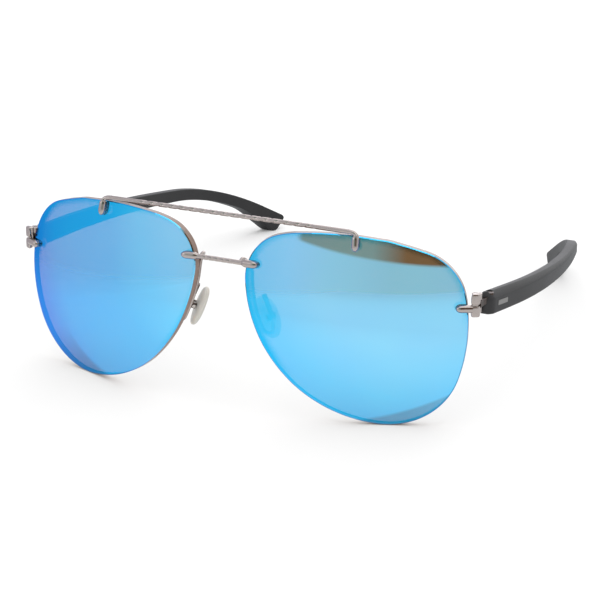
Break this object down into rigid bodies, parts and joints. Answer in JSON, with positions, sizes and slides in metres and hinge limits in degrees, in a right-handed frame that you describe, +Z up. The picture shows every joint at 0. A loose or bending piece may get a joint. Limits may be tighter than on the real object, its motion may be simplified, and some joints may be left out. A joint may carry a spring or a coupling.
{
  "type": "aviator sunglasses",
  "caption": "Rimless aviator sunglasses with curved mirrored lenses, a straight brow bar, a lower bridge, rocking nose pads and temples that fold in on screwed hinges.",
  "frame": {"origin": "on the table plane, midway between the two sides, below the front plane of the lens centres", "axes": "+X to the wearer's left, +Y back along the temples, +Z up from the table"},
  "size_m": [0.1444, 0.1348, 0.0539],
  "materials": {
    "lens": "blue mirror coating on tinted polycarbonate",
    "sleeve": "clear",
    "frame_metal": "polished gunmetal plating",
    "screw_metal": "polished",
    "pad_core": "clear stiff plastic",
    "pad": "translucent silicone",
    "temple": "matte charcoal",
    "inlay": "satin, blank"
  },
  "bodies": {
    "front": {"lens_left": "lens", "lens_right": "lens", "lens_sleeves_left": "sleeve", "lens_sleeves_right": "sleeve", "brow_bar": "frame_metal", "lower_bridge": "frame_metal", "pad_arm_left": "frame_metal", "pad_arm_right": "frame_metal", "pad_box_left": "frame_metal", "pad_box_right": "frame_metal", "pad_screws": "screw_metal", "end_piece_left": "frame_metal", "end_piece_right": "frame_metal", "hinge_screws": "screw_metal"},
    "left_temple": {"temple_hinge_left": "frame_metal", "temple_left": "temple", "temple_screw_left": "screw_metal", "inlay_left": "inlay"},
    "right_temple": {"temple_hinge_right": "frame_metal", "temple_right": "temple", "temple_screw_right": "screw_metal", "inlay_right": "inlay"},
    "left_pad": {"pad_core_left": "pad_core", "nose_pad_left": "pad"},
    "right_pad": {"pad_core_right": "pad_core", "nose_pad_right": "pad"}
  },
  "joints": [
    {"name": "left_temple_fold", "type": "hinge", "parent": "front", "child": "left_temple", "pos_m": [0.06691, 0.01503, 0.03443], "axis": [0, 0.0736, 0.9973], "range_deg": [0, 80]},
    {"name": "right_temple_fold", "type": "hinge", "parent": "front", "child": "right_temple", "pos_m": [-0.06691, 0.01503, 0.03443], "axis": [0, -0.0736, -0.9973], "range_deg": [0, 72]},
    {"name": "left_pad_rock", "type": "hinge", "parent": "front", "child": "left_pad", "pos_m": [0.01158, 0.00576, 0.02541], "axis": [0.4568, 0.8786, 0.1391], "range_deg": [-6, 6]},
    {"name": "right_pad_rock", "type": "hinge", "parent": "front", "child": "right_pad", "pos_m": [-0.01158, 0.00576, 0.02541], "axis": [0.4568, -0.8786, -0.1391], "range_deg": [-6, 6]}
  ]
}
